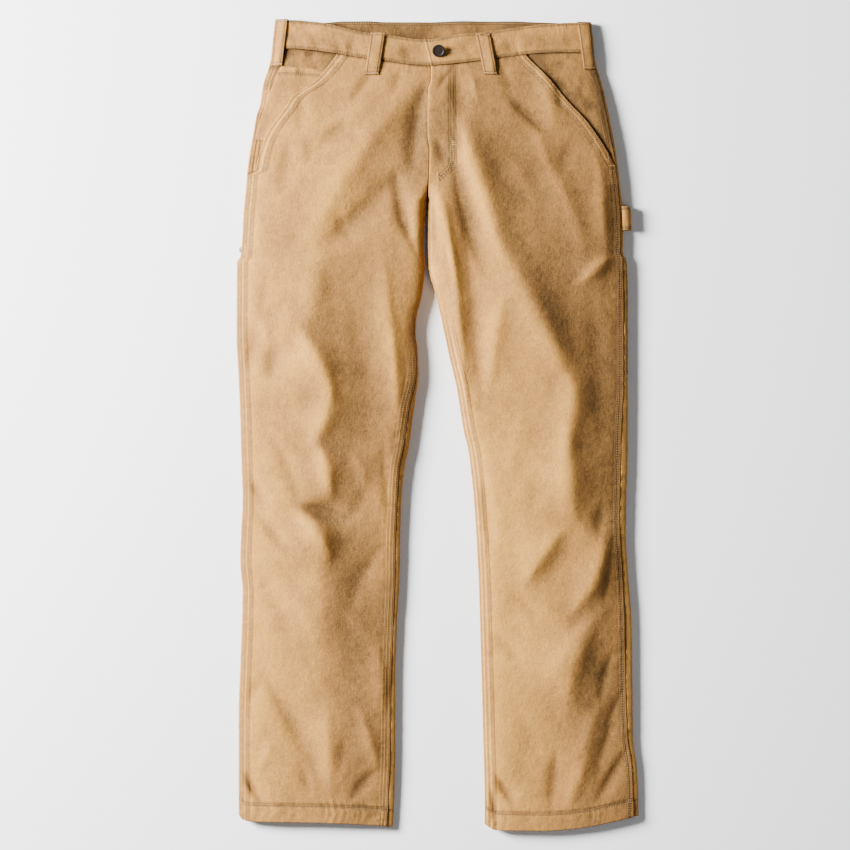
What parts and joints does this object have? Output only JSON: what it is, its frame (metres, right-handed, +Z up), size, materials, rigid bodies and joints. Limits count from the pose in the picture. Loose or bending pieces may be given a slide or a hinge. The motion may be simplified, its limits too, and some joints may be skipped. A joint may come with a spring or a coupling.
{
  "type": "work pants",
  "caption": "Straight-leg duck work pants laid flat, front up, with slanted hand pockets, a coin pocket, a buttoned waistband, belt loops and a hammer loop.",
  "frame": {"origin": "centre of the laid garment's plan, on the surface it lies on", "axes": "+X towards the wearer's left leg (the picture's right), +Y towards the waist, +Z up from the surface"},
  "size_m": [0.5295, 1.0686, 0.0353],
  "materials": {
    "duck_cloth": "washed sand-brown duck, matt",
    "closure_tape": "plain tape, matt",
    "button_metal": "dark antique, satin",
    "rivet_metal": "dark antique, satin"
  },
  "bodies": {
    "root": {"front_panel_R": "duck_cloth", "front_panel_L": "duck_cloth", "back_panel_R": "duck_cloth", "back_panel_L": "duck_cloth", "utility_pocket_R": "duck_cloth", "utility_pocket_L": "duck_cloth", "pocket_facing_R": "duck_cloth", "pocket_facing_L": "duck_cloth", "coin_pocket_R": "duck_cloth", "fly_zip": "closure_tape", "fly_shield": "duck_cloth", "waistband_front_R": "duck_cloth", "waistband_front_L": "duck_cloth", "waistband_back": "duck_cloth", "belt_loop_side_R": "duck_cloth", "belt_loop_front_R": "duck_cloth", "belt_loop_front_L": "duck_cloth", "belt_loop_side_L": "duck_cloth", "button": "button_metal", "rivet_R": "rivet_metal", "hammer_loop_L": "duck_cloth"}
  },
  "joints": []
}
